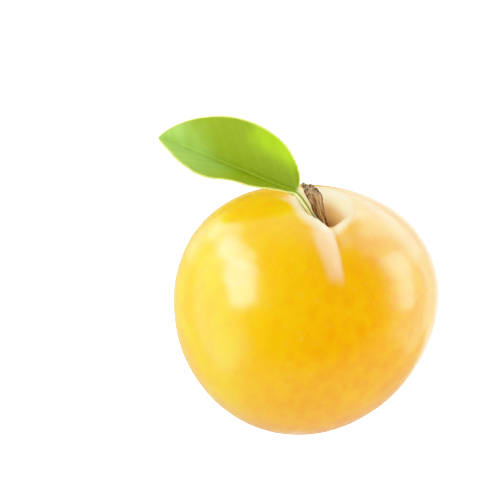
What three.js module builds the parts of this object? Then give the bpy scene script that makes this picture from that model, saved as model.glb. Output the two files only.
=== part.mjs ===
import * as THREE from 'three';
import { mergeVertices } from 'three/addons/utils/BufferGeometryUtils.js';

// A yellow plum as picked, with its woody stem and one leaf tucked in beside
// it. Millimetres, +Z up. The origin is the centre of the small flat spot that
// the fruit rests on, and the seam down its cheek faces the front, -Y.

const DEGREE = Math.PI / 180;
const UP = new THREE.Vector3(0, 0, 1);

// Fruit. Its own frame has the stem end at +Z and the front at -Y.
const FRUIT_CENTRE = new THREE.Vector3(0.98, -1.07, 26.65);
const STEM_END_LEAN = 11.9 * DEGREE;
const STEM_END_HEADING = -30.7 * DEGREE;
// Centre to skin every 30 degrees, from the stem end to the blossom end.
const SKIN_RADII = [24.4, 25.7, 26.75, 25.7, 25.6, 26.85, 27.8];
const CHEEK_SWELL = 0.046;
const BACK_BELLY = 0.0165;
const BACK_SLOPE = 0.14;
const CAVITY_DEPTH = 6.5;
const CAVITY_RADIUS_AT_SEAM = 2.4;
const CAVITY_RADIUS_AT_BACK = 4.3;
const SEAM_TURN = 14 * DEGREE;
const SEAM_DEPTH = 1.85;
const SEAM_HALF_WIDTH = 2.4;
const SEAM_EDGE = 0.5;
const SEAM_LENGTH = 62 * DEGREE;
const RESTING_BLEND = 0.5;
const FRUIT_SEGMENTS = 64;
const FRUIT_RINGS = 42;
const SEGMENT_CROWDING = 0.45;
const RING_CROWDING = 1.35;

// Stem: its centreline from the foot up, and its radius at even steps.
const STEM_FOOT = new THREE.Vector3(4.45, -2.95, 45.5);
const STEM_PATH = [[0, 0, 0], [-0.35, 0.2, 1.6], [-1, 0.4, 4], [-1.75, 0.65, 6.4], [-2.8, 0.9, 9.2]];
const STEM_RADII = [0.8, 1.1, 1.1, 1.12, 1.22, 1.4, 1.68, 1.5];
const BARK_RIDGE = 0.1;
const RAGGED_END = 0.36;
const PITH_DEPTH = 0.9;
const STEM_SIDES = 22;
const STEM_STEPS = 14;

// Leaf: +X runs along the midrib to the tip, +Y is the half nearer the front.
const LEAF_BASE = new THREE.Vector3(-0.8, -2.8, 53.2);
const LEAF_HEADING = 138 * DEGREE;
const BLADE_LENGTH = 37.6;
const BLADE_HALF_WIDTH = 9.7;
const BLADE_THICKNESS = 0.45;
const TIP_HALF_WIDTH = 0.2;
const TIP_RISE = 0.5;
// Rise of each half off the level, at even steps from base to tip.
const BACK_HALF_FOLD = [56 * DEGREE, 64 * DEGREE];
const FRONT_HALF_FOLD = [29 * DEGREE, 15 * DEGREE, 33 * DEGREE];
const BLADE_CUP = 12 * DEGREE;
const BLADE_TEETH = 24;
const TOOTH_DEPTH = 0.22;
const BLADE_COLUMNS = 5;
const MIDRIB_THICKNESS = 0.7;
const MIDRIB_HALF_WIDTH = 0.6;
const PETIOLE_PATH = [[-3.35, -0.96, -4.2], [-2.05, -0.52, -2.15]];
const PETIOLE_HALF_WIDTH = 0.45;
const PETIOLE_STEPS = 7;

// ---- Shared by the pieces ----------------------------------------------------

// Welds a primitive into one closed skin, then moves each vertex by a rule.
function reshape(primitive, place) {
  primitive.deleteAttribute('normal');
  primitive.deleteAttribute('uv');
  const skin = mergeVertices(primitive);
  const points = skin.getAttribute('position');
  const from = new THREE.Vector3();
  for (let index = 0; index < points.count; index += 1) {
    from.fromBufferAttribute(points, index);
    const to = place(from);
    points.setXYZ(index, to.x, to.y, to.z);
  }
  skin.computeVertexNormals();
  return skin;
}

function namedMesh(name, geometry, colour, roughness) {
  const material = new THREE.MeshStandardMaterial({ color: colour, roughness, metalness: 0 });
  const mesh = new THREE.Mesh(geometry, material);
  mesh.name = name;
  return mesh;
}

// Value at 0..1 along evenly spaced knots, joined by straight lines.
function along(knots, share) {
  const reach = THREE.MathUtils.clamp(share, 0, 1) * (knots.length - 1);
  const index = Math.min(Math.floor(reach), knots.length - 2);
  return THREE.MathUtils.lerp(knots[index], knots[index + 1], reach - index);
}

function curveThrough(points) {
  return new THREE.CatmullRomCurve3(points.map((point) => new THREE.Vector3(...point)));
}

// ---- Fruit -------------------------------------------------------------------

// Cosine series that passes through evenly spaced knots, level at both ends.
function cosineSeries(knots) {
  const last = knots.length - 1;
  const share = (index) => (index === 0 || index === last ? 0.5 : 1);
  return knots.map((_, order) => {
    const sum = knots.reduce((total, knot, index) => (
      total + share(index) * knot * Math.cos(Math.PI * order * index / last)), 0);
    return 2 * share(order) * sum / last;
  });
}

const skinSeries = cosineSeries(SKIN_RADII);
const fruitTurn = new THREE.Quaternion().setFromUnitVectors(UP, new THREE.Vector3(
  Math.sin(STEM_END_LEAN) * Math.cos(STEM_END_HEADING),
  Math.sin(STEM_END_LEAN) * Math.sin(STEM_END_HEADING),
  Math.cos(STEM_END_LEAN),
));
const upInFruit = UP.clone().applyQuaternion(fruitTurn.clone().invert());

// Outer form: polar is the angle from the stem end, turn the angle from the
// seam. Both cheeks swell, the belly sits back and the back shoulder slopes.
function fleshRadius(polar, turn) {
  const round = skinSeries.reduce((total, weight, order) => (
    total + weight * Math.cos(order * polar)), 0);
  const cheeks = CHEEK_SWELL * Math.cos(2 * turn);
  const belly = BACK_BELLY * (1 - Math.cos(polar)) * Math.cos(turn);
  const slope = BACK_SLOPE * (Math.max(0, Math.cos(polar)) * Math.min(0, Math.cos(turn))) ** 2;
  return round * (1 - Math.sin(polar) ** 2 * (cheeks + belly + slope));
}

// The stem cavity is a funnel, steep under the seam and longer at the back.
function cavityDepth(polar, turn, fromAxis) {
  if (polar > Math.PI / 2) {
    return 0;
  }
  const back = (1 - Math.cos(turn)) / 2;
  const radius = THREE.MathUtils.lerp(CAVITY_RADIUS_AT_SEAM, CAVITY_RADIUS_AT_BACK, back);
  return CAVITY_DEPTH * Math.exp(-((fromAxis / radius) ** 2));
}

// The seam is a soft V that starts in the stem cavity and fades down the cheek.
function seamDepth(polar, turn, fromAxis) {
  if (Math.cos(turn) <= 0) {
    return 0;
  }
  const edge = Math.hypot(fromAxis * Math.sin(turn), SEAM_EDGE) - SEAM_EDGE;
  const fade = Math.max(0, 1 - (polar / SEAM_LENGTH) ** 2) ** 1.5;
  const start = 1 - Math.exp(-((fromAxis / CAVITY_RADIUS_AT_SEAM) ** 2));
  return SEAM_DEPTH * fade * start * Math.exp(-edge / SEAM_HALF_WIDTH);
}

// Presses what would dip below the resting plane flat, with a soft edge.
function pressFlat(height) {
  if (height >= RESTING_BLEND) {
    return height;
  }
  return Math.max(0, height + RESTING_BLEND) ** 2 / (4 * RESTING_BLEND);
}

// Where a point of a unit ball goes. Vertices crowd round the stem and the seam.
function fruitPoint(onBall) {
  const polar = Math.PI * (Math.acos(THREE.MathUtils.clamp(onBall.y, -1, 1)) / Math.PI) ** RING_CROWDING;
  const spin = Math.atan2(onBall.z, -onBall.x);
  const turn = spin - SEGMENT_CROWDING * Math.sin(spin);
  const radius = fleshRadius(polar, turn);
  const fromAxis = radius * Math.sin(polar);
  const point = new THREE.Vector3(
    Math.sin(polar) * Math.sin(turn + SEAM_TURN),
    -Math.sin(polar) * Math.cos(turn + SEAM_TURN),
    Math.cos(polar),
  );
  point.multiplyScalar(radius - seamDepth(polar, turn, fromAxis));
  point.z -= cavityDepth(polar, turn, fromAxis);
  const height = point.dot(upInFruit) + FRUIT_CENTRE.z;
  return point.addScaledVector(upInFruit, pressFlat(height) - height);
}

function makeFruit() {
  const ball = new THREE.SphereGeometry(1, FRUIT_SEGMENTS, FRUIT_RINGS);
  const fruit = namedMesh('fruit', reshape(ball, fruitPoint), 0xf5bb12, 0.35);
  fruit.position.copy(FRUIT_CENTRE);
  fruit.quaternion.copy(fruitTurn);
  return fruit;
}

// ---- Stem --------------------------------------------------------------------

function makeStem() {
  const path = curveThrough(STEM_PATH);
  const rod = new THREE.CylinderGeometry(1, 1, 1, STEM_SIDES, STEM_STEPS);
  const geometry = reshape(rod, (from) => {
    const share = from.y + 0.5;
    const around = Math.atan2(from.x, from.z);
    const reach = Math.hypot(from.x, from.z);
    const ridges = Math.cos(6 * around + 2.5 * share) + 0.6 * Math.cos(9 * around - 3 * share);
    const radius = reach * (along(STEM_RADII, share) + BARK_RIDGE * ridges);
    const ragged = RAGGED_END * (Math.sin(3 * around + 1) + 0.7 * Math.sin(5 * around));
    const end = from.y < 0.5 ? 0 : reach * ragged - (1 - reach) * PITH_DEPTH;
    const point = path.getPoint(share);
    point.x += radius * Math.sin(around);
    point.y -= radius * Math.cos(around);
    point.z += end;
    return point;
  });
  const stem = namedMesh('stem', geometry, 0x9a6f48, 0.85);
  stem.position.copy(STEM_FOOT);
  return stem;
}

// ---- Leaf --------------------------------------------------------------------

// Vertex numbers round a PlaneGeometry, anticlockwise seen from its face.
function rimOfGrid(columns, rows) {
  const at = (column, row) => row * (columns + 1) + column;
  const rim = [];
  for (let row = 0; row < rows; row += 1) {
    rim.push(at(0, row));
  }
  for (let column = 0; column < columns; column += 1) {
    rim.push(at(column, rows));
  }
  for (let row = rows; row > 0; row -= 1) {
    rim.push(at(columns, row));
  }
  for (let column = columns; column > 0; column -= 1) {
    rim.push(at(column, 0));
  }
  return rim;
}

// A closed thin solid: one grid for both faces, split alike, joined at the rim.
function closedSheet(columns, rows, place) {
  const grid = new THREE.PlaneGeometry(1, 1, columns, rows);
  const uv = grid.getAttribute('uv');
  const upper = [];
  const lower = [];
  for (let index = 0; index < uv.count; index += 1) {
    upper.push(...place(uv.getX(index), uv.getY(index), 1).toArray());
    lower.push(...place(uv.getX(index), uv.getY(index), -1).toArray());
  }
  const top = Array.from(grid.index.array);
  const bottom = top.map((index) => index + uv.count).reverse();
  const edge = rimOfGrid(columns, rows);
  const rim = edge.flatMap((here, step) => {
    const next = edge[(step + 1) % edge.length];
    return [next, here, here + uv.count, next, here + uv.count, next + uv.count];
  });
  const solid = new THREE.BufferGeometry();
  solid.setAttribute('position', new THREE.Float32BufferAttribute([...upper, ...lower], 3));
  solid.setIndex([...top, ...bottom, ...rim]);
  solid.computeVertexNormals();
  return solid;
}

// Broad rounded base, widest before the middle, drawn out to a pointed tip.
function bladeHalfWidth(share) {
  return 2 * BLADE_HALF_WIDTH * Math.sqrt(share) * Math.max(0, 1 - share ** 1.5) ** 0.79;
}

// The petiole and the blade are one sheet. A row of it has its place on the
// centreline, the way the leaf runs there, and its half width.
const petiolePath = curveThrough([...PETIOLE_PATH, [0, 0, 0], [3, 0, 0]]);
const petioleShare = PETIOLE_PATH.length / (PETIOLE_PATH.length + 1);
const bladeSteps = 2 * BLADE_TEETH;
const leafRows = PETIOLE_STEPS + bladeSteps;

function leafRow(row) {
  if (row < PETIOLE_STEPS) {
    const reach = petioleShare * row / PETIOLE_STEPS;
    const centre = petiolePath.getPoint(reach);
    const ahead = petiolePath.getTangent(reach);
    return { centre, ahead, share: 0, halfWidth: PETIOLE_HALF_WIDTH, tooth: 0 };
  }
  const step = row - PETIOLE_STEPS;
  const share = step / bladeSteps;
  const centre = new THREE.Vector3(share * BLADE_LENGTH, 0, share * TIP_RISE);
  const ahead = new THREE.Vector3(1, 0, 0);
  const widest = Math.max(bladeHalfWidth(share), PETIOLE_HALF_WIDTH * (1 - share));
  const tooth = step % 2 === 1 && step > 1 ? TOOTH_DEPTH : 0;
  return { centre, ahead, share, halfWidth: widest + TIP_HALF_WIDTH * share, tooth };
}

// One vertex: u runs from the back margin to the front one, face is 1 or -1.
// The thickness hangs below the upper face, so the fold never crosses itself.
function leafPoint(u, v, face) {
  const { centre, ahead, share, halfWidth, tooth } = leafRow(Math.round((1 - v) * leafRows));
  const across = 2 * u - 1;
  const hand = Math.sign(across);
  const out = Math.abs(across) ** 1.2;
  const spread = out * halfWidth + (out === 1 ? tooth : 0);
  const half = across > 0 ? FRONT_HALF_FOLD : BACK_HALF_FOLD;
  const fold = hand * (along(half, share) + BLADE_CUP * (0.5 - out));
  const side = new THREE.Vector3(0, 1, 0).addScaledVector(ahead, -ahead.y).normalize();
  const lift = new THREE.Vector3().crossVectors(ahead, side);
  const rib = Math.max(0, 1 - spread / MIDRIB_HALF_WIDTH) * (1 - share);
  const depth = face > 0 ? 0 : -THREE.MathUtils.lerp(BLADE_THICKNESS, MIDRIB_THICKNESS, rib);
  centre.addScaledVector(side, hand * spread * Math.cos(fold) - depth * Math.sin(fold));
  centre.addScaledVector(lift, hand * spread * Math.sin(fold) + depth * Math.cos(fold));
  return centre;
}

function makeLeaf() {
  const geometry = closedSheet(2 * BLADE_COLUMNS, leafRows, leafPoint);
  const leaf = namedMesh('leaf', geometry, 0x93c01f, 0.5);
  leaf.position.copy(LEAF_BASE);
  leaf.rotation.z = LEAF_HEADING;
  return leaf;
}

const plum = new THREE.Group();
plum.add(makeFruit(), makeStem(), makeLeaf());

export default plum;
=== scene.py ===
"""A ripe yellow plum with its woody stem and one leaf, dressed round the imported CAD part."""

import math

import bpy
from mathutils import Matrix, Vector, noise


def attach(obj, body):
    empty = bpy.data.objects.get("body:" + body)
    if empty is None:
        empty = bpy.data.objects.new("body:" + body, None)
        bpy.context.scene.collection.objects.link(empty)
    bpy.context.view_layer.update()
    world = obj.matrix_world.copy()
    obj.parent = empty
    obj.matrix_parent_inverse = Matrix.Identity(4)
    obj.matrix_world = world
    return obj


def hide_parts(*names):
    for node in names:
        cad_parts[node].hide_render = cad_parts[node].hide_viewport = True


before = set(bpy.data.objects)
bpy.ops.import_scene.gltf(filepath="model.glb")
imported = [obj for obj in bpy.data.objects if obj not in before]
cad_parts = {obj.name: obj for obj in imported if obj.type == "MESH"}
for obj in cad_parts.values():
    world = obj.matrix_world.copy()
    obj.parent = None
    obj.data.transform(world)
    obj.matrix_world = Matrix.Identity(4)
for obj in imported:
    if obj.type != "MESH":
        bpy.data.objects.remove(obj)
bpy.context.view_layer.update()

# ---- Camera -----------------------------------------------------------------
# A long lens stands half a metre in front of the plum and looks down on its
# seam side. The plum sits right of the middle and the leaf reaches to the left.
MM = 0.001
FRAME_PIXELS = 500
PIXEL = 54 * MM / 267  # what one pixel covers at the fruit
CAMERA_RISE = math.radians(28)
CAMERA_DISTANCE = 500 * MM
FRUIT_CENTRE = Vector((0.98, -1.07, 26.65)) * MM
FRUIT_IN_FRAME = (54.63, -56.72)  # pixels right of and above the middle
SENSOR_WIDTH = 36

camera_right = Vector((1, 0, 0))
camera_up = Vector((0, math.sin(CAMERA_RISE), math.cos(CAMERA_RISE)))
camera_back = Vector((0, -math.cos(CAMERA_RISE), math.sin(CAMERA_RISE)))
camera_data = bpy.data.cameras.new("studio_camera")
camera_data.sensor_width = SENSOR_WIDTH
camera_data.lens = SENSOR_WIDTH * CAMERA_DISTANCE / (FRAME_PIXELS * PIXEL)
camera = bpy.data.objects.new("studio_camera", camera_data)
bpy.context.collection.objects.link(camera)
camera_place = (
    FRUIT_CENTRE
    + camera_back * CAMERA_DISTANCE
    - camera_right * FRUIT_IN_FRAME[0] * PIXEL
    - camera_up * FRUIT_IN_FRAME[1] * PIXEL
)
camera_turn = Matrix((camera_right, camera_up, camera_back)).transposed()
camera.matrix_world = Matrix.Translation(camera_place) @ camera_turn.to_4x4()
bpy.context.scene.camera = camera

# ---- Fruit ------------------------------------------------------------------
# The flesh is one rounded body with two cheeks, a seam down the front and a
# deep cavity round the stem. It is the CAD form made finer, with a skin that
# heaves a little, as flesh does, and a small dry scar where the blossom was.
STEM_END_LEAN = math.radians(11.9)
STEM_END_HEADING = math.radians(-30.7)
SKIN_HEAVE = 0.16 * MM
HEAVE_SIZE = 9 * MM
HEAVE_MIDDLE = 0.55  # above one half, so the skin sinks a little more than it swells
SEAM_TURN = math.radians(-76)
LIP_SWELL = 1 * MM  # the lip stands a little proud on both sides of the seam
LIP_RADIUS = 5.2 * MM
LIP_WIDTH = 1.7 * MM
LIP_NOTCH = math.radians(30)
BLOSSOM_END_REACH = 27.8 * MM  # from the fruit's centre to its lower end
SCAR_RADIUS = 1.5 * MM
SCAR_DEPTH = 0.35 * MM
WELD_DISTANCE = 0.002 * MM
QUAD_ANGLE = math.radians(60)  # how uneven two triangles may be and still make a quad

fruit_axis = Vector((
    math.sin(STEM_END_LEAN) * math.cos(STEM_END_HEADING),
    math.sin(STEM_END_LEAN) * math.sin(STEM_END_HEADING),
    math.cos(STEM_END_LEAN),
))
fruit_turn = Vector((0, 0, 1)).rotation_difference(fruit_axis)


def make_active(piece):
    """Leaves nothing but this piece selected."""
    bpy.ops.object.select_all(action="DESELECT")
    bpy.context.view_layer.objects.active = piece
    piece.select_set(True)


def whole_copy(node, name):
    """A copy of a CAD node, its loose triangles welded into one skin of quads."""
    piece = bpy.data.objects.new(name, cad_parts[node].data.copy())
    bpy.context.collection.objects.link(piece)
    piece.data.materials.clear()
    make_active(piece)
    bpy.ops.object.mode_set(mode="EDIT")
    bpy.ops.mesh.select_all(action="SELECT")
    bpy.ops.mesh.customdata_custom_splitnormals_clear()
    bpy.ops.mesh.remove_doubles(threshold=WELD_DISTANCE)
    bpy.ops.mesh.tris_convert_to_quads(face_threshold=QUAD_ANGLE, shape_threshold=QUAD_ANGLE)
    bpy.ops.object.mode_set(mode="OBJECT")
    return piece


def finish_with(piece, kind, **settings):
    """Adds one modifier and applies it."""
    make_active(piece)
    modifier = piece.modifiers.new(kind.title(), kind)
    for setting, value in settings.items():
        setattr(modifier, setting, value)
    bpy.ops.object.modifier_apply(modifier=modifier.name)


fruit = whole_copy("fruit", "fruit_flesh")
finish_with(fruit, "SUBSURF", levels=2, render_levels=2)
heave = bpy.data.textures.new("flesh_heave", "CLOUDS")
heave.noise_scale = HEAVE_SIZE
heave.noise_depth = 1
finish_with(
    fruit, "DISPLACE", texture=heave, texture_coords="GLOBAL", strength=SKIN_HEAVE,
    mid_level=HEAVE_MIDDLE,
)
blossom_end = FRUIT_CENTRE - fruit_axis * BLOSSOM_END_REACH
for vertex in fruit.data.vertices:
    local = fruit_turn.inverted() @ (vertex.co - FRUIT_CENTRE)
    off_seam = math.remainder(math.atan2(local.y, local.x) - SEAM_TURN, math.tau)
    swell = 1 - math.exp(-(off_seam / LIP_NOTCH) ** 2)
    swell *= math.exp(-((math.hypot(local.x, local.y) - LIP_RADIUS) / LIP_WIDTH) ** 2)
    if local.z > 0:
        vertex.co += fruit_axis * LIP_SWELL * swell * (1 + math.cos(off_seam)) / 2
    vertex.co.z = max(vertex.co.z, 0)
    away = math.hypot(vertex.co.x - blossom_end.x, vertex.co.y - blossom_end.y)
    if away < SCAR_RADIUS and vertex.co.z < FRUIT_CENTRE.z:
        vertex.co.z += SCAR_DEPTH * (1 - (away / SCAR_RADIUS) ** 2) ** 2
make_active(fruit)
bpy.ops.object.shade_smooth()


def linear(code):
    """An sRGB hex colour as linear RGBA."""
    shares = [int(code[place:place + 2], 16) / 255 for place in (0, 2, 4)]
    return tuple(
        share / 12.92 if share <= 0.04045 else ((share + 0.055) / 1.055) ** 2.4 for share in shares
    ) + (1,)


def new_material(name):
    """A material with a bare surface shader, and its node tree."""
    material = bpy.data.materials.new(name)
    material.use_nodes = True
    return material, material.node_tree, material.node_tree.nodes["Principled BSDF"]


def add_node(tree, kind, inputs=(), output=0, **settings):
    """Adds a node with its settings and gives back one of its outputs.

    An input takes a plain value, or another node's output to be linked to.
    """
    node = tree.nodes.new("ShaderNode" + kind)
    for setting, value in settings.items():
        setattr(node, setting, value)
    for place, value in inputs.items() if isinstance(inputs, dict) else enumerate(inputs):
        if isinstance(value, bpy.types.NodeSocket):
            tree.links.new(value, node.inputs[place])
        else:
            node.inputs[place].default_value = value
    return node.outputs[output]


# Ripe plum skin: thin, taut and waxed, over wet translucent flesh. Lemon and
# orange run in soft streaks from stem to blossom end, with pale pores in them.
SKIN_ORANGE = linear("FBA600")
SKIN_DEEP = linear("F49700")
SKIN_LEMON = linear("FEB502")
SKIN_GREEN = linear("F2C806")
SKIN_PORE = linear("FFDC6A")
CREAM_BLOOM_AND_SHEEN = linear("FDE6BE")
SEAM_HIGHLIGHT_PINK = linear("FDD0BE")  # painted highlight, pale pink, down the left flank of the seam
CAVITY_TAN = linear("EFB468")
CAVITY_BROWN_AND_SHADE = linear("BE7E18")
SCAR_BROWN = linear("6A4523")
# Each pattern fades in between its two levels, up to its strength.
STREAK_WIDTH = 2.5 / 27  # as a share of the fruit's radius
STREAK_STRETCH = 0.55
STREAK_LEVELS = (0.35, 0.7)
STREAK_STRENGTH = 0.3
# The left cheek turns lemon: partly the fruit's own tint, partly painted light for the brighter
# light on that side.
LEMON_AND_LIGHT_SIDE = (-4 * MM, -27 * MM)  # where the left cheek starts and ends turning lemon
LEMON_TILT = -0.45  # it turns sooner high up
LEMON_STRENGTH = 0.7
PATCH_SIZE = 11 * MM
PATCH_LEVELS = (0.35, 0.65)
PATCH_STRENGTH = 0.6
MOTTLE_SIZE = 2.6 * MM
MOTTLE_LEVELS = (0.42, 0.6)
MOTTLE_STRENGTH = 0.5
GREEN_LEVELS = (0.5, 0.66)
GREEN_STRENGTH = 0.5
PORE_SPACING = 1.9 * MM
PORE_LEVELS = (0.24, 0.06)
PORE_STRENGTH = 0.13

skin, tree, shader = new_material("ripe_plum_skin")
where = add_node(tree, "TexCoord", output="Object")
in_fruit = add_node(
    tree, "Mapping",
    {"Vector": where, "Location": FRUIT_CENTRE, "Rotation": fruit_turn.to_euler()},
    vector_type="TEXTURE",
)
level = add_node(tree, "VectorMath", [in_fruit, (1, 1, 0)], operation="MULTIPLY")
spoke = add_node(tree, "VectorMath", [level], operation="NORMALIZE")
facing = add_node(tree, "VectorMath", [in_fruit], operation="NORMALIZE")
rise = add_node(tree, "VectorMath", [facing, (0, 0, STREAK_STRETCH)], operation="MULTIPLY")
along_skin = add_node(tree, "VectorMath", [spoke, rise])
streaks = add_node(tree, "TexNoise", {
    "Vector": along_skin, "Scale": 1 / STREAK_WIDTH, "Detail": 3, "Roughness": 0.6,
    "Distortion": 0.4,
})
patches = add_node(tree, "TexNoise", {"Vector": where, "Scale": 1 / PATCH_SIZE, "Detail": 3})
rightward = add_node(
    tree, "VectorMath", [where, (1, 0, LEMON_TILT)], "Value", operation="DOT_PRODUCT"
)
# A soft range eases in and out of its two levels.
SOFT = {"interpolation_type": "SMOOTHSTEP"}
# The lemon left cheek, partly painted light.
lemon_and_light_side = add_node(tree, "MapRange", [rightward, *LEMON_AND_LIGHT_SIDE], **SOFT)
streak = add_node(tree, "MapRange", [streaks, *STREAK_LEVELS, 0, STREAK_STRENGTH], **SOFT)
lemon = add_node(tree, "Math", [lemon_and_light_side, LEMON_STRENGTH, streak], operation="MULTIPLY_ADD")
patch = add_node(tree, "MapRange", [patches, *PATCH_LEVELS], **SOFT)
mottle = add_node(tree, "TexNoise", {"Vector": where, "Scale": 1 / MOTTLE_SIZE, "Detail": 2})
mottle = add_node(tree, "MapRange", [mottle, *MOTTLE_LEVELS, 0, MOTTLE_STRENGTH], **SOFT)
patch = add_node(tree, "Math", [patch, PATCH_STRENGTH, mottle], operation="MULTIPLY_ADD")
# A colour Mix takes its share in socket 0 and its two colours in 6 and 7, and
# gives the mixed colour from its output 2.
colour = add_node(tree, "Mix", {0: patch, 6: SKIN_ORANGE, 7: SKIN_DEEP}, 2, data_type="RGBA")
colour = add_node(tree, "Mix", {0: lemon, 6: colour, 7: SKIN_LEMON}, 2, data_type="RGBA")
green = add_node(tree, "MapRange", [patches, *GREEN_LEVELS, 0, GREEN_STRENGTH], **SOFT)
green = add_node(tree, "Math", [green, lemon_and_light_side], operation="MULTIPLY")
colour = add_node(tree, "Mix", {0: green, 6: colour, 7: SKIN_GREEN}, 2, data_type="RGBA")
pore_place = add_node(tree, "VectorMath", [where, (1, 1, 0.5)], operation="MULTIPLY")
pores = add_node(tree, "TexVoronoi", {"Vector": pore_place, "Scale": 1 / PORE_SPACING})
pore = add_node(tree, "MapRange", [pores, *PORE_LEVELS, 0, PORE_STRENGTH], **SOFT)
colour = add_node(tree, "Mix", {0: pore, 6: colour, 7: SKIN_PORE}, 2, data_type="RGBA")

# A pale painted highlight runs down the left flank of the seam, and a faint
# painted sheen lies on its right flank. Dry wax bloom lies thick and creamy on
# the lip of the cavity, partly painted sheen where the top catches the light.
# The skin is tan inside the cavity, brown at its bottom, partly painted shade,
# and brown at the blossom scar.
SEAM_HIGHLIGHT_TOP = 5.8 * MM  # how wide the painted highlight lies at the lip, and at its lower end
SEAM_HIGHLIGHT_FOOT = 4.3 * MM
SEAM_PAINT_START = (4 * MM, 7 * MM)  # these three are distances down the seam
SEAM_HIGHLIGHT_TAPER = (9.5 * MM, 16.5 * MM)
SEAM_HIGHLIGHT_END = (18.1 * MM, 15.6 * MM)
SEAM_HIGHLIGHT_EDGE = 2.2 * MM
SEAM_HIGHLIGHT_STRENGTH = 0.33
SEAM_EDGE = 0.3 * MM
SEAM_SHEEN_SPREAD = (-5.5 * MM, -2 * MM)  # to the right of the seam
SEAM_SHEEN_END = (12 * MM, 8.5 * MM)
SEAM_SHEEN_STRENGTH = 0.15
# Wax bloom on the cavity's lip, partly painted sheen.
BLOOM_AND_SHEEN_CENTRE = Vector((-0.9, 1.7, 0)) * MM
BLOOM_AND_SHEEN_SQUASH = (1, 0.75, 1)
BLOOM_AND_SHEEN_RAGGEDNESS = 2 * MM
BLOOM_AND_SHEEN_EDGE = (8.4 * MM, 6.3 * MM)
BLOOM_AND_SHEEN_STRENGTH = 0.85
# Heights above and below the middle of the fruit, along its own axis.
TOP_SIDE = (10 * MM, 13 * MM)
CAVITY_TAN_FROM = (23.1 * MM, 21.3 * MM)
CAVITY_BROWN_AND_SHADE_FROM = (21.3 * MM, 18.4 * MM)
UNDER_SIDE = (-20 * MM, -24 * MM)
SCAR_EDGE = (1.1 * MM, 0.6 * MM)

down_seam = (math.cos(SEAM_TURN), math.sin(SEAM_TURN), 0)
off_left = (math.sin(SEAM_TURN), -math.cos(SEAM_TURN), 0)
down_seam = add_node(tree, "VectorMath", [in_fruit, down_seam], "Value", operation="DOT_PRODUCT")
off_left = add_node(tree, "VectorMath", [in_fruit, off_left], "Value", operation="DOT_PRODUCT")
# Painted highlight: a pale wedge down the left flank of the seam.
seam_highlight = add_node(tree, "MapRange", [down_seam, *SEAM_HIGHLIGHT_TAPER, SEAM_HIGHLIGHT_TOP, SEAM_HIGHLIGHT_FOOT])
seam_highlight = add_node(tree, "Math", [seam_highlight, off_left], operation="SUBTRACT")
seam_highlight = add_node(tree, "MapRange", [seam_highlight, 0, SEAM_HIGHLIGHT_EDGE, 0, SEAM_HIGHLIGHT_STRENGTH], **SOFT)
one_flank = add_node(tree, "MapRange", [off_left, -SEAM_EDGE, SEAM_EDGE])
seam_highlight = add_node(tree, "Math", [seam_highlight, one_flank], operation="MULTIPLY")
seam_highlight_end = add_node(tree, "MapRange", [down_seam, *SEAM_HIGHLIGHT_END], **SOFT)
seam_highlight = add_node(tree, "Math", [seam_highlight, seam_highlight_end], operation="MULTIPLY")
seam_paint_start = add_node(tree, "MapRange", [down_seam, *SEAM_PAINT_START])
seam_highlight = add_node(tree, "Math", [seam_highlight, seam_paint_start], operation="MULTIPLY")
colour = add_node(tree, "Mix", {0: seam_highlight, 6: colour, 7: SEAM_HIGHLIGHT_PINK}, 2, data_type="RGBA")
# Painted sheen: a faint cream haze on the right flank of the seam.
seam_sheen = add_node(tree, "MapRange", [off_left, *SEAM_SHEEN_SPREAD, 0, SEAM_SHEEN_STRENGTH], **SOFT)
other_flank = add_node(tree, "MapRange", [off_left, -SEAM_EDGE, -3 * SEAM_EDGE])
seam_sheen = add_node(tree, "Math", [seam_sheen, other_flank], operation="MULTIPLY")
seam_sheen_end = add_node(tree, "MapRange", [down_seam, *SEAM_SHEEN_END], **SOFT)
seam_sheen = add_node(tree, "Math", [seam_sheen, seam_sheen_end], operation="MULTIPLY")
seam_sheen = add_node(tree, "Math", [seam_sheen, seam_paint_start], operation="MULTIPLY")
colour = add_node(tree, "Mix", {0: seam_sheen, 6: colour, 7: CREAM_BLOOM_AND_SHEEN}, 2, data_type="RGBA")
from_axis = add_node(tree, "VectorMath", [level], "Value", operation="LENGTH")
up_fruit = add_node(tree, "SeparateXYZ", [in_fruit], 2)
top_side = add_node(tree, "MapRange", [up_fruit, *TOP_SIDE])
# Cream wax bloom round the cavity's lip, partly painted sheen where the top catches the light.
from_bloom_and_sheen = add_node(tree, "VectorMath", [level, BLOOM_AND_SHEEN_CENTRE], operation="SUBTRACT")
from_bloom_and_sheen = add_node(tree, "VectorMath", [from_bloom_and_sheen, BLOOM_AND_SHEEN_SQUASH], operation="MULTIPLY")
from_bloom_and_sheen = add_node(tree, "VectorMath", [from_bloom_and_sheen], "Value", operation="LENGTH")
from_bloom_and_sheen = add_node(
    tree, "Math", [patches, BLOOM_AND_SHEEN_RAGGEDNESS, from_bloom_and_sheen], operation="MULTIPLY_ADD"
)
bloom_and_sheen = add_node(tree, "MapRange", [from_bloom_and_sheen, *BLOOM_AND_SHEEN_EDGE, 0, BLOOM_AND_SHEEN_STRENGTH], **SOFT)
bloom_and_sheen = add_node(tree, "Math", [bloom_and_sheen, top_side], operation="MULTIPLY")
colour = add_node(tree, "Mix", {0: bloom_and_sheen, 6: colour, 7: CREAM_BLOOM_AND_SHEEN}, 2, data_type="RGBA")
deep = add_node(tree, "MapRange", [up_fruit, *CAVITY_TAN_FROM], **SOFT)
deep = add_node(tree, "Math", [deep, bloom_and_sheen], operation="MULTIPLY")
colour = add_node(tree, "Mix", {0: deep, 6: colour, 7: CAVITY_TAN}, 2, data_type="RGBA")
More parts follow.
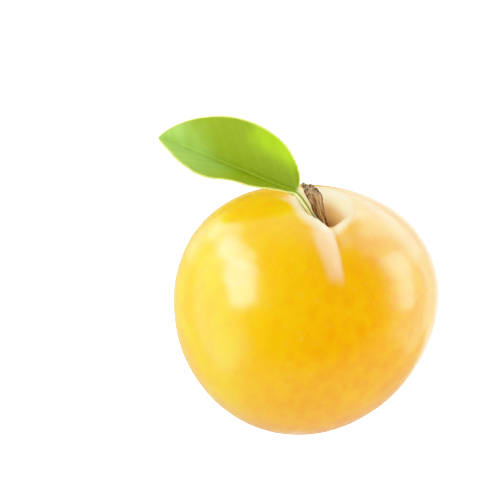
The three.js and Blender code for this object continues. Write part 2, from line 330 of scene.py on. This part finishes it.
# Brown at the cavity's bottom, partly painted shade.
brown_and_shade_bottom = add_node(tree, "MapRange", [up_fruit, *CAVITY_BROWN_AND_SHADE_FROM], **SOFT)
brown_and_shade_bottom = add_node(tree, "Math", [brown_and_shade_bottom, bloom_and_sheen], operation="MULTIPLY")
colour = add_node(tree, "Mix", {0: brown_and_shade_bottom, 6: colour, 7: CAVITY_BROWN_AND_SHADE}, 2, data_type="RGBA")
under_side = add_node(tree, "MapRange", [up_fruit, *UNDER_SIDE])
scar = add_node(tree, "MapRange", [from_axis, *SCAR_EDGE], **SOFT)
scar = add_node(tree, "Math", [scar, under_side], operation="MULTIPLY")
colour = add_node(tree, "Mix", {0: scar, 6: colour, 7: SCAR_BROWN}, 2, data_type="RGBA")
tree.links.new(colour, shader.inputs["Base Color"])

# Wax lies unevenly, so the gloss comes and goes. The skin is finely dimpled.
WAX_PATCH = 4 * MM
WAX_LEVELS = (0.3, 0.7)
SKIN_ROUGHNESS = (0.18, 0.25)
BLOOM_ROUGHNESS = 0.6
SKIN_GRAIN = 0.8 * MM
DIMPLE_DEPTH = 0.05 * MM

wax = add_node(tree, "TexNoise", {"Vector": where, "Scale": 1 / WAX_PATCH, "Detail": 3})
gloss = add_node(tree, "MapRange", [wax, *WAX_LEVELS, *SKIN_ROUGHNESS])
gloss = add_node(tree, "Mix", {0: bloom_and_sheen, 2: gloss, 3: BLOOM_ROUGHNESS})
tree.links.new(gloss, shader.inputs["Roughness"])
grain = add_node(tree, "TexNoise", {"Vector": where, "Scale": 1 / SKIN_GRAIN})
grain = add_node(tree, "Math", [grain, pore])
dimple = add_node(tree, "Bump", {"Strength": 0.08, "Distance": DIMPLE_DEPTH, "Height": grain})
tree.links.new(dimple, shader.inputs["Normal"])
shader.inputs["IOR"].default_value = 1.45
shader.inputs["Subsurface Weight"].default_value = 0.25
shader.inputs["Subsurface Radius"].default_value = (1, 0.45, 0.08)
shader.inputs["Subsurface Scale"].default_value = 2.5 * MM
fruit.data.materials.append(skin)
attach(fruit, "root")
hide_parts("fruit")

# ---- Stem -------------------------------------------------------------------
# A short piece of the fruiting spur, woody and ridged along its length. It
# grows out of the cavity floor and ends where it broke off the twig, in a
# ragged knob of torn bark round a hollow pith.
STEM_FOOT = Vector((4.45, -2.95, 45.5)) * MM
STEM_LEAN = (-0.3, 0.1)  # sideways for each length upwards
FOOT_STEPS = [((-0.1, 0, -0.6), 1.12), ((-0.15, 0, -0.55), 1.2), ((-0.05, 0, -0.5), 1.25)]
RIDGE_HEIGHT = 0.22 * MM
RIDGE_CLOSENESS = 1.5  # waves in a millimetre
RIDGE_STRETCH = 0.2
RIDGE_MIDDLE = 0.7  # the ridge value that leaves the wood where it is
TORN_FROM = 53.6 * MM
TORN_LENGTH = 1.2 * MM
TORN_HEIGHT = 0.42 * MM
TUFT_SIZE = 0.7 * MM
TUFT_CLOSENESS = 2.4
TUFT_MIDDLE = 0.6
SLANT_FROM = 52.4 * MM  # the break runs down to the right
SLANT = 0.5
SLANT_REACH = 1.4

stem = whole_copy("stem", "stem_wood")
bpy.ops.object.mode_set(mode="EDIT")
bpy.ops.mesh.select_mode(type="FACE")
bpy.ops.mesh.select_all(action="DESELECT")
bpy.ops.object.mode_set(mode="OBJECT")
for face in stem.data.polygons:
    looks_down = face.normal.z < -0.8
    face.select = looks_down and face.center.z < STEM_FOOT.z + 0.1 * MM
bpy.ops.object.mode_set(mode="EDIT")
foot = STEM_FOOT.copy()
for step, growth in FOOT_STEPS:
    step = Vector(step) * MM
    foot += step
    bpy.ops.mesh.extrude_region_move(TRANSFORM_OT_translate={"value": step})
    bpy.ops.transform.resize(value=(growth, growth, 1), center_override=foot)
bpy.ops.object.mode_set(mode="OBJECT")
finish_with(stem, "SUBSURF", levels=2, render_levels=2)

ridges = stem.data.attributes.new("ridge", "FLOAT", "POINT")
for vertex in stem.data.vertices:
    climb = vertex.co.z - STEM_FOOT.z
    across = Vector((
        vertex.co.x - STEM_FOOT.x - STEM_LEAN[0] * climb,
        vertex.co.y - STEM_FOOT.y - STEM_LEAN[1] * climb,
        climb * RIDGE_STRETCH,
    )) / MM
    ridge = 1 - 2 * abs(noise.fractal(across * RIDGE_CLOSENESS, 0.7, 2.2, 4))
    ridges.data[vertex.index].value = ridge
    vertex.co += vertex.normal * RIDGE_HEIGHT * (ridge - RIDGE_MIDDLE)
    torn = min(1, max(0, (vertex.co.z - TORN_FROM) / TORN_LENGTH))
    fray = noise.fractal(vertex.co / MM * TUFT_CLOSENESS, 0.9, 2, 3)
    tuft = noise.cell(vertex.co / TUFT_SIZE) + fray - TUFT_MIDDLE
    vertex.co += vertex.normal * TORN_HEIGHT * torn * tuft
    rightward = min(1, max(0, across.x / SLANT_REACH))
    vertex.co.z -= SLANT * rightward * max(0, vertex.co.z - SLANT_FROM)
make_active(stem)
bpy.ops.object.shade_smooth()

# Dry bark: tan on the crests, dark brown in the cracks, redder low down, and
# bleached and frayed where it was torn.
BARK_TAN = linear("A88350")
BARK_CREST = linear("CFA97A")
BARK_CRACK = linear("5E4018")
BARK_RED = linear("94642C")
BARK_TORN = linear("D9C094")
FIBRE_WIDTH = 0.32 * MM  # real bark fibres are finer, and would not show
FIBRE_STRETCH = 0.1
RED_BELOW = (52 * MM, 46 * MM)
CREST_LEVELS = (0.5, 0.64)
CRACK_LEVELS = (0.62, 0.46)
BARK_CONTRAST = 0.9
RIDGE_SHARE = 0.18  # how far the carved ridges steer the cracks
BARK_RELIEF = 0.2 * MM

bark, tree, shader = new_material("dry_plum_bark")
where = add_node(tree, "TexCoord", output="Object")
height = add_node(tree, "SeparateXYZ", [where], 2)
lean_back = (-STEM_LEAN[0], -STEM_LEAN[1], 0)
upright = add_node(tree, "VectorMath", [height, lean_back, where], operation="MULTIPLY_ADD")
fibre_place = add_node(tree, "VectorMath", [upright, (1, 1, FIBRE_STRETCH)], operation="MULTIPLY")
fibres = add_node(tree, "TexNoise", {
    "Vector": fibre_place, "Scale": 1 / FIBRE_WIDTH, "Detail": 3, "Roughness": 0.6,
    "Distortion": 0.3,
})
ridge_level = add_node(tree, "Attribute", (), "Fac", attribute_name="ridge")
low_down = add_node(tree, "MapRange", [height, *RED_BELOW])
colour = add_node(tree, "Mix", {0: low_down, 6: BARK_TAN, 7: BARK_RED}, 2, data_type="RGBA")
crests = add_node(tree, "MapRange", [fibres, *CREST_LEVELS, 0, BARK_CONTRAST], **SOFT)
colour = add_node(tree, "Mix", {0: crests, 6: colour, 7: BARK_CREST}, 2, data_type="RGBA")
cracks = add_node(tree, "Math", [ridge_level, RIDGE_SHARE, fibres], operation="MULTIPLY_ADD")
cracks = add_node(tree, "MapRange", [cracks, *CRACK_LEVELS, 0, BARK_CONTRAST], **SOFT)
colour = add_node(tree, "Mix", {0: cracks, 6: colour, 7: BARK_CRACK}, 2, data_type="RGBA")

# The break is a crowd of pale torn ends with dark gaps between.
TORN_END_WIDTH = 0.45 * MM
GAP_LEVELS = (0.4, 0.68)
TORN_FADE = 0.9 * MM
TORN_STRENGTH = 0.85

tufts = add_node(tree, "TexVoronoi", {"Vector": where, "Scale": 1 / TORN_END_WIDTH})
gaps = add_node(tree, "MapRange", [tufts, *GAP_LEVELS], **SOFT)
torn_end = add_node(tree, "Mix", {0: gaps, 6: BARK_TORN, 7: BARK_CRACK}, 2, data_type="RGBA")
torn = add_node(
    tree, "MapRange", [height, TORN_FROM - TORN_FADE, TORN_FROM + TORN_FADE, 0, TORN_STRENGTH]
)
colour = add_node(tree, "Mix", {0: torn, 6: colour, 7: torn_end}, 2, data_type="RGBA")
tree.links.new(colour, shader.inputs["Base Color"])
relief = add_node(tree, "Bump", {"Strength": 0.7, "Distance": BARK_RELIEF, "Height": fibres})
tree.links.new(relief, shader.inputs["Normal"])
shader.inputs["Roughness"].default_value = 0.85
stem.data.materials.append(bark)
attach(stem, "root")
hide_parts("stem")

# ---- Leaf -------------------------------------------------------------------
# One thin blade, folded up along its midrib and saw-toothed at the margin. Its
# channelled stalk is tucked into the cavity beside the stem. Blade and stalk
# are a single sheet: thick under the midrib, puffed up between the side veins.
LEAF_BASE = Vector((-0.8, -2.8, 53.2))  # the leaf is shaped along X, in mm, then placed
LEAF_HEADING = math.radians(138)
BLADE_LENGTH = 37.6
BLADE_HALF_WIDTH = 9.7
TIP_HALF_WIDTH = 0.05
TIP_RISE = 0.5
BACK_HALF_FOLD = [math.radians(56), math.radians(64)]
FRONT_HALF_FOLD = [math.radians(29), math.radians(15), math.radians(33)]
BLADE_CUP = math.radians(12)
BLADE_SHOULDER = 1.5  # these two powers give the blade its outline
BLADE_TAPER = 0.79
COLUMN_CROWDING = 1.25  # packs the columns closer near the midrib
MIDRIB_ROUNDING = 0.7
STALK_PATH = [
    (-5.6, -1.9, -6.6), (-3.35, -0.96, -4.2), (-2.05, -0.52, -2.15), (0, 0, 0), (3, 0, 0),
]
STALK_LENGTH = 7
STALK_HALF_WIDTH = 0.9
STALK_END_HALF_WIDTH = 0.4
STALK_STEPS = 30
BLADE_STEPS = 228
BLADE_COLUMNS = 36
TEETH = 38
TOOTH_DEPTH = 0.3
TOOTH_BAND = 0.15  # the outer share of the half blade that the teeth take up
MARGIN_WAVE = 0.3
MARGIN_WAVE_LENGTH = 9.5
WAVE_RUN_IN = 6
VEIN_SPACING = 4.4
VEIN_SLANT = 0.75
VEIN_CURVE = 0.045
QUILTING = 0.035
MIDRIB_HALF_WIDTH = 0.75
MIDRIB_TAPER = 0.8
MIDRIB_THICKNESS = 0.85
BLADE_THICKNESS = 0.24
EDGE_ANGLE = math.radians(50)
LEAF_MAP_SIZE = 50
LEAF_MAP_START = 8  # how far the map reaches back past the foot of the blade


def along(knots, share):
    """Value at 0..1 along evenly spaced knots, joined by straight lines."""
    reach = min(max(share, 0), 1) * (len(knots) - 1)
    index = min(int(reach), len(knots) - 2)
    return knots[index] + (knots[index + 1] - knots[index]) * (reach - index)


def stalk_point(reach):
    """A smooth curve through the stalk's path; reach counts its knots."""
    knots = [Vector(knot) for knot in STALK_PATH]
    knots = [knots[0] * 2 - knots[1]] + knots
    index = min(int(reach), len(knots) - 4)
    share = reach - index
    one, two, three, four = knots[index:index + 4]
    return 0.5 * (
        2 * two
        + (three - one) * share
        + (2 * one - 5 * two + 4 * three - four) * share ** 2
        + (3 * two - one - 3 * three + four) * share ** 3
    )


def blade_half_width(share):
    """Half the width of the blade at 0..1 along it, without its teeth."""
    taper = max(0, 1 - share ** BLADE_SHOULDER) ** BLADE_TAPER
    return 2 * BLADE_HALF_WIDTH * math.sqrt(share) * taper


def off_vein(forward, spread, hand):
    """How far a place is from the nearest side vein, 0 on it and 0.5 midway."""
    row = (forward - VEIN_SLANT * spread - VEIN_CURVE * spread ** 2) / VEIN_SPACING
    row += 0.5 if hand > 0 else 0
    return abs(row - round(row))


def leaf_place(step, across):
    """What one place on the leaf is like, at a step along it and -1..1 across it.

    Gives its point, its map place, its thickness and how far the margin is.
    """
    hand = 1 if across > 0 else -1
    out = abs(across) ** COLUMN_CROWDING
    if step < STALK_STEPS:
        reach = (len(STALK_PATH) - 2) * step / STALK_STEPS
        centre = stalk_point(reach)
        ahead = (stalk_point(reach + 0.02) - centre).normalized()
        forward = -(1 - step / STALK_STEPS) * STALK_LENGTH
        share = 0
        widths = [STALK_END_HALF_WIDTH, STALK_END_HALF_WIDTH, STALK_HALF_WIDTH]
        half_width = along(widths, step / STALK_STEPS)
        relief = 0
    else:
        share = (step - STALK_STEPS) / BLADE_STEPS
        forward = share * BLADE_LENGTH
        centre = Vector((forward, 0, share * TIP_RISE))
        ahead = Vector((1, 0, 0))
        half_width = max(blade_half_width(share), STALK_HALF_WIDTH * (1 - share))
        half_width += TIP_HALF_WIDTH * share
        tooth = (share * TEETH) % 1 * (1 - share) ** 0.3
        half_width += TOOTH_DEPTH * tooth * max(0, out - (1 - TOOTH_BAND)) / TOOTH_BAND
        near = off_vein(forward, out * half_width, hand)
        relief = QUILTING * (math.sin(math.pi * min(1, 2 * near)) if near < 0.25 else 1)
        relief *= min(1, out * half_width / 2) * (1 - out ** 4)
    spread = out * half_width
    fold = along(FRONT_HALF_FOLD if hand > 0 else BACK_HALF_FOLD, share) + BLADE_CUP * (0.5 - out)
    fold *= hand * min(1, 0.25 + spread / MIDRIB_ROUNDING) if step >= STALK_STEPS else hand
    wave = MARGIN_WAVE * out ** 2 * math.sin(2 * math.pi * forward / MARGIN_WAVE_LENGTH + hand)
    wave *= min(1, max(0, forward / WAVE_RUN_IN)) * (1 - share)
    beside = Vector((0, 1, 0))
    beside = (beside - ahead * ahead.y).normalized()
    lift = ahead.cross(beside)
    point = centre + beside * hand * spread * math.cos(fold) + lift * hand * spread * math.sin(fold)
    point += (lift * math.cos(fold) - beside * math.sin(fold)) * (relief + wave)
    rib_reach = MIDRIB_HALF_WIDTH * (1 - share) + 0.1
    rib = max(0, 1 - spread / rib_reach) * (1 - MIDRIB_TAPER * share)
    return point, forward, hand * spread, rib, half_width - spread


leaf_rows = STALK_STEPS + BLADE_STEPS
bpy.ops.object.select_all(action="DESELECT")
bpy.ops.mesh.primitive_grid_add(
    x_subdivisions=leaf_rows, y_subdivisions=BLADE_COLUMNS, size=2, calc_uvs=True
)
leaf = bpy.context.active_object
leaf.name = "leaf_blade_and_stalk"
leaf_turn = Matrix.Rotation(LEAF_HEADING, 3, "Z")
thick = leaf.vertex_groups.new(name="thick")
mapped = {}
to_margin = []
for vertex in leaf.data.vertices:
    step = round((vertex.co.x + 1) / 2 * leaf_rows)
    point, forward, sideways, rib, inward = leaf_place(step, vertex.co.y)
    to_margin.append(inward)
    mapped[vertex.index] = (
        (forward + LEAF_MAP_START) / LEAF_MAP_SIZE, sideways / LEAF_MAP_SIZE + 0.5
    )
    thick.add([vertex.index], rib, "REPLACE")
    vertex.co = (LEAF_BASE + leaf_turn @ point) * MM
leaf_map = leaf.data.uv_layers[0]
for loop in leaf.data.loops:
    leaf_map.data[loop.index].uv = mapped[loop.vertex_index]
leaf.data.attributes.new("to_margin", "FLOAT", "POINT").data.foreach_set("value", to_margin)

# Fresh plum leaf: yellow-green with little sheen, see-through in strong light,
# with a painted highlight along its thin margin. The underside is matt, downy and
# paler. Each face has its blade, blade by the midrib, blade lit through (painted
# light), tip with painted sheen, veins, roughness.
LEAF_FACES = {
    "fresh_leaf_upper": ("788704", "707E02", "A2CC06", "ACD878", "94AE1E", 0.45),
    "fresh_leaf_underside": ("A4C46C", "98B860", "AECE74", "A6C888", "8DB058", 0.6),
    "fresh_leaf_edge": ("E6EC74", "E6EC74", "E6EC74", "E6EC74", "E6EC74", 0.5),
}
# Painted highlight along the leaf's thin margin.
MARGIN_HIGHLIGHT = linear("F2F08A")
# Painted highlight on the stalk's edges, and olive with painted shade in its channel.
STALK_EDGE_HIGHLIGHT = linear("FFFAC0")
STALK_OLIVE_AND_SHADE = linear("8A7F28")
LIGHT_THROUGH = linear("B4D00A")
LIGHT_SHARE = 0.28
# Places on the leaf, in millimetres from the foot of the blade and from its
# midrib; the back half lies on the minus side.
SHINE_THROUGH_BACK = (-1.5, -8)
SHINE_THROUGH_FORWARD = (22, 8)
SHINE_THROUGH_CLOUDS = 0.9
SHINE_THROUGH_LEVELS = (0.6, 1.4)
DEEP_SPREAD = (4.5, 0.5)
DEEP_FORWARD = (20, 5)
TIP_SHEEN_ACROSS = (-8, 3, -3, 15)  # the front half goes pale sooner than the back
TIP_SHEEN_CLOUDS = 12
TIP_SHEEN_FORWARD = (32, 47)
TIP_SHEEN_STRENGTH = 0.75
CLOUD_SIZE = 7
PANEL_SHADE = 0.22
SIDE_VEIN_EDGE = (0.06, 0.01)
SIDE_VEIN_STRENGTH = 0.3
NET_SPACING = 1
NET_EDGE = (0.1, 0)
NET_STRENGTH = 0.16
RIB_TAPER = (0, 30, 0.3, 0.02)
RIB_EDGE = 0.12
RIB_STRENGTH = 0.6
MARGIN_EDGE = (0.5, 0.2)
WING_EDGE = (0.1, 0.4)
STALK_TO_BLADE = (0.8, -0.6)
PUCKER_DEPTH = 0.1 * MM

for name, (ground, deep, shine_through, pale_sheen, vein, roughness) in LEAF_FACES.items():
    face, tree, shader = new_material(name)
    spot = add_node(tree, "UVMap", uv_map=leaf_map.name)
    forward = add_node(tree, "SeparateXYZ", [spot])
    forward = add_node(
        tree, "Math", [forward, LEAF_MAP_SIZE, -LEAF_MAP_START], operation="MULTIPLY_ADD"
    )
    sideways = add_node(tree, "SeparateXYZ", [spot], 1)
    sideways = add_node(
        tree, "Math", [sideways, LEAF_MAP_SIZE, -LEAF_MAP_SIZE / 2], operation="MULTIPLY_ADD"
    )
    spread = add_node(tree, "Math", [sideways], operation="ABSOLUTE")
    # Painted light: bright where light shines through, towards the back margin near
    # the base. Deeper along the midrib, and pale with a painted sheen towards the tip
    # and on the front half.
    cloud_scale = LEAF_MAP_SIZE / CLOUD_SIZE
    clouds = add_node(tree, "TexNoise", {"Vector": spot, "Scale": cloud_scale, "Detail": 3})
    shine_through_mask = add_node(tree, "MapRange", [sideways, *SHINE_THROUGH_BACK], **SOFT)
    from_tip = add_node(tree, "MapRange", [forward, *SHINE_THROUGH_FORWARD], **SOFT)
    shine_through_mask = add_node(tree, "Math", [shine_through_mask, from_tip], operation="MULTIPLY")
    shine_through_mask = add_node(tree, "Math", [clouds, SHINE_THROUGH_CLOUDS, shine_through_mask], operation="MULTIPLY_ADD")
    shine_through_mask = add_node(tree, "MapRange", [shine_through_mask, *SHINE_THROUGH_LEVELS], **SOFT)
    dark = add_node(tree, "MapRange", [spread, *DEEP_SPREAD], **SOFT)
    near_base = add_node(tree, "MapRange", [forward, *DEEP_FORWARD], **SOFT)
    dark = add_node(tree, "Math", [dark, near_base], operation="MULTIPLY")
    # Painted sheen: pale towards the tip and on the front half.
    tip_sheen = add_node(tree, "MapRange", [sideways, *TIP_SHEEN_ACROSS])
    tip_sheen = add_node(tree, "Math", [tip_sheen, forward])
    tip_sheen = add_node(tree, "Math", [clouds, TIP_SHEEN_CLOUDS, tip_sheen], operation="MULTIPLY_ADD")
    tip_sheen = add_node(tree, "MapRange", [tip_sheen, *TIP_SHEEN_FORWARD, 0, TIP_SHEEN_STRENGTH], **SOFT)
    grounds = {0: shine_through_mask, 6: linear(ground), 7: linear(shine_through)}
    colour = add_node(tree, "Mix", grounds, 2, data_type="RGBA")
    colour = add_node(tree, "Mix", {0: dark, 6: colour, 7: linear(deep)}, 2, data_type="RGBA")
    colour = add_node(tree, "Mix", {0: tip_sheen, 6: colour, 7: linear(pale_sheen)}, 2, data_type="RGBA")
    # Side veins leave the midrib on a slant and curve to the tip, in turn on
    # either side; a fine net lies between them.
    behind = add_node(tree, "Math", [spread, VEIN_CURVE, VEIN_SLANT], operation="MULTIPLY_ADD")
    behind = add_node(tree, "Math", [behind, spread], operation="MULTIPLY")
    row = add_node(tree, "Math", [forward, behind], operation="SUBTRACT")
    row = add_node(tree, "Math", [row, VEIN_SPACING], operation="DIVIDE")
    front = add_node(tree, "Math", [sideways, 0], operation="GREATER_THAN")
    row = add_node(tree, "Math", [front, 0.5, row], operation="MULTIPLY_ADD")
    row = add_node(tree, "Math", [row, 0.5], operation="PINGPONG")
    panels = add_node(tree, "MapRange", [row, 0, 0.5, 0, PANEL_SHADE])
    colour = add_node(tree, "Mix", {0: panels, 6: colour, 7: linear(deep)}, 2, data_type="RGBA")
    side_veins = add_node(
        tree, "MapRange", [row, *SIDE_VEIN_EDGE, 0, SIDE_VEIN_STRENGTH], **SOFT
    )
    net = add_node(
        tree, "TexVoronoi", {"Vector": spot, "Scale": LEAF_MAP_SIZE / NET_SPACING},
        feature="DISTANCE_TO_EDGE",
    )
    net = add_node(tree, "MapRange", [net, *NET_EDGE, 0, NET_STRENGTH], **SOFT)
    veins = add_node(tree, "Math", [side_veins, net], operation="MAXIMUM")
    rib_width = add_node(tree, "MapRange", [forward, *RIB_TAPER])
    rib = add_node(tree, "Math", [rib_width, spread], operation="SUBTRACT")
    rib = add_node(tree, "MapRange", [rib, -RIB_EDGE, RIB_EDGE, 0, RIB_STRENGTH], **SOFT)
    veins = add_node(tree, "Math", [veins, rib], operation="MAXIMUM")
    colour = add_node(tree, "Mix", {0: veins, 6: colour, 7: linear(vein)}, 2, data_type="RGBA")
    # Painted highlight along the thin margin.
    margin_highlight = add_node(tree, "Attribute", (), "Fac", attribute_name="to_margin")
    margin_highlight = add_node(tree, "MapRange", [margin_highlight, *MARGIN_EDGE], **SOFT)
    colour = add_node(tree, "Mix", {0: margin_highlight, 6: colour, 7: MARGIN_HIGHLIGHT}, 2, data_type="RGBA")
    # The stalk's channel: painted highlights along its two edges, and olive in its floor with
    # painted shade.
    lit_wings = add_node(tree, "MapRange", [spread, *WING_EDGE], **SOFT)
    stalk = add_node(tree, "Mix", {0: lit_wings, 6: STALK_OLIVE_AND_SHADE, 7: STALK_EDGE_HIGHLIGHT}, 2, data_type="RGBA")
    on_stalk = add_node(tree, "MapRange", [forward, *STALK_TO_BLADE], **SOFT)
    colour = add_node(tree, "Mix", {0: on_stalk, 6: colour, 7: stalk}, 2, data_type="RGBA")
    tree.links.new(colour, shader.inputs["Base Color"])
    shader.inputs["Roughness"].default_value = roughness
    shader.inputs["Specular IOR Level"].default_value = 0.05
    puckers = add_node(
        tree, "Bump", {"Strength": 0.25, "Distance": PUCKER_DEPTH, "Height": veins}
    )
    tree.links.new(puckers, shader.inputs["Normal"])
    through = add_node(tree, "BsdfTranslucent", {"Color": LIGHT_THROUGH})
    lit = add_node(tree, "MixShader", [LIGHT_SHARE, shader.outputs[0], through])
    tree.links.new(lit, tree.nodes["Material Output"].inputs["Surface"])
    leaf.data.materials.append(face)
# The wall gives the sheet its thickness, with a finish of its own on each side.
finish_with(
    leaf, "SOLIDIFY", thickness=MIDRIB_THICKNESS * MM, offset=-1, vertex_group="thick",
    thickness_vertex_group=BLADE_THICKNESS / MIDRIB_THICKNESS,
    material_offset=1, material_offset_rim=2,
)
make_active(leaf)
bpy.ops.object.shade_smooth_by_angle(angle=EDGE_ANGLE)
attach(leaf, "root")
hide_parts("leaf")

# ---- Studio -----------------------------------------------------------------
# A glowing white table in a white tent that is open and dark towards the
# camera. Tall soft boxes stand on the left and right, wide panels hang above
# and behind, and big soft fills that make no glints light the colours.
TABLE_SIZE = 6
TABLE_GLOW = 2.6
WHITE = (1, 1, 1, 1)
TENT_FRONT = 0.04
TENT_BACK = 0.9
TENT_OPENS = (0.5, 0)  # how squarely a wall has to face the camera to be open, or white
TENT_SHADE = (-0.6, 1, 0.75, 1)  # the tent is a little darker low down
# A dark card stands behind, so that the skin under the leaf keeps its colour.
CARD_DIRECTION = Vector((-0.15, 0.95, 0.18)).normalized()
CARD_RIM = math.cos(math.radians(25))
CARD_MIDDLE = math.cos(math.radians(12))
CARD_BRIGHTNESS = 0.1
LAMP_DISTANCE = 800 * MM
# Each lamp: degrees right of and above the camera as seen from the plum, its
# width and height in degrees, its brightness, and whether it makes the glints
# or the soft light.
LAMPS = {
    "left_box_top": ((-54, 53), (37, 22), 8, "glints"),
    "left_box": ((-50.5, 30), (29, 24), 10.2, "glints"),
    "left_box_foot": ((-49.5, 7), (27, 22), 10.2, "glints"),
    "left_box_toe": ((-52, -8), (17, 8), 7, "glints"),
    "left_box_haze": ((-65, 76), (46, 26), 3.4, "glints"),
    "left_wall": ((-82, -15), (56, 80), 1.7, "glints"),
    "left_rear": ((-92, 84), (30, 40), 1.2, "glints"),
    "right_box": ((84, 28), (25, 48), 5.5, "glints"),
    "right_wall": ((105, 5), (50, 66), 1.5, "glints"),
    "back_panel": ((68, 78), (56, 50), 2.2, "glints"),
    "top_panel": ((45, 108), (40, 40), 2.2, "glints"),
    "rear_wall": ((128, 66), (50, 60), 1.2, "glints"),
    "left_fill": ((-50, -22), (70, 70), 1.1, "fill"),
    "shade_fill": ((-72, 38), (40, 40), 6, "fill"),
    "right_fill": ((70, 10), (70, 70), 2, "fill"),
    "front_fill": ((0, -35), (80, 80), 0.92, "fill"),
    "top_fill": ((-10, 42), (60, 60), 0.7, "fill"),
    "low_fill": ((30, -78), (44, 44), 1.1, "fill"),
}
# The leaf throws no shade in the light of these two, just as it throws next to
# none where light comes from all round.
ROUND_THE_LEAF = ("shade_fill", "top_fill")

bpy.ops.object.select_all(action="DESELECT")
bpy.ops.mesh.primitive_plane_add(size=TABLE_SIZE)
floor = bpy.context.active_object
floor.name = "floor"
floor.visible_diffuse = False
floor.visible_glossy = False
floor.visible_shadow = False
table, tree, shader = new_material("white_acrylic_table")
shader.inputs["Base Color"].default_value = linear("F2F2F2")
shader.inputs["Roughness"].default_value = 0.9
shader.inputs["Specular IOR Level"].default_value = 0.1
shader.inputs["Emission Color"].default_value = WHITE
shader.inputs["Emission Strength"].default_value = TABLE_GLOW
floor.data.materials.append(table)

room = bpy.data.worlds.new("white_tent")
room.use_nodes = True
tree = room.node_tree
outward = add_node(tree, "TexCoord", output="Generated")
to_camera = add_node(tree, "VectorMath", [outward, camera_back], "Value", operation="DOT_PRODUCT")
tent = add_node(tree, "MapRange", [to_camera, *TENT_OPENS, TENT_FRONT, TENT_BACK], **SOFT)
skyward = add_node(tree, "SeparateXYZ", [outward], 2)
skyward = add_node(tree, "MapRange", [skyward, *TENT_SHADE])
tent = add_node(tree, "Math", [tent, skyward], operation="MULTIPLY")
card = add_node(tree, "VectorMath", [outward, CARD_DIRECTION], "Value", operation="DOT_PRODUCT")
card = add_node(tree, "MapRange", [card, CARD_RIM, CARD_MIDDLE, 1, CARD_BRIGHTNESS], **SOFT)
tent = add_node(tree, "Math", [tent, card], operation="MULTIPLY")
tree.links.new(tent, tree.nodes["Background"].inputs["Strength"])
tree.nodes["Background"].inputs["Color"].default_value = WHITE
bpy.context.scene.world = room

# Bright light rolls off softly to white, as on film.
ROLL_OFF = [(0, 0), (0.6, 0.6), (0.8, 0.75), (1, 0.855), (1.25, 0.935), (1.6, 0.985), (2.2, 1.02)]
view = bpy.context.scene.view_settings
view.view_transform = "Standard"
view.use_curve_mapping = True
view.curve_mapping.clip_max_x, view.curve_mapping.clip_max_y = ROLL_OFF[-1]
film = view.curve_mapping.curves[3].points  # the curve for all three colours
film[0].location = ROLL_OFF[0]
film[1].location = ROLL_OFF[-1]
for place in ROLL_OFF[1:-1]:
    film.new(*place)
view.curve_mapping.update()

# A lamp takes its shade from all but the pieces that this collection leaves out.
not_shading = bpy.data.collections.new("not_shading")
not_shading.objects.link(leaf)
not_shading.collection_objects[0].light_linking.link_state = "EXCLUDE"
for name, (place, spans, brightness, use) in LAMPS.items():
    away, clock = math.radians(math.hypot(*place)), math.atan2(place[1], place[0])
    direction = (
        camera_right * math.sin(away) * math.cos(clock)
        + camera_up * math.sin(away) * math.sin(clock)
        + camera_back * math.cos(away)
    )
    lamp = bpy.data.lights.new(name, "AREA")
    lamp.shape = "RECTANGLE"
    lamp.size, lamp.size_y = (
        2 * LAMP_DISTANCE * math.tan(math.radians(span / 2)) for span in spans
    )
    lamp.energy = brightness * math.pi * lamp.size * lamp.size_y
    stand = bpy.data.objects.new(name, lamp)
    bpy.context.collection.objects.link(stand)
    upward = (camera_up - direction * camera_up.dot(direction)).normalized()
    turn = Matrix((upward.cross(direction), upward, direction)).transposed().to_4x4()
    stand.matrix_world = Matrix.Translation(FRUIT_CENTRE + direction * LAMP_DISTANCE) @ turn
    stand.visible_camera = False
    stand.visible_diffuse = use == "fill"
    stand.visible_glossy = use == "glints"
    lamp.cycles.use_multiple_importance_sampling = use == "glints"
    if name in ROUND_THE_LEAF:
        stand.light_linking.blocker_collection = not_shading

bpy.context.view_layer.update()
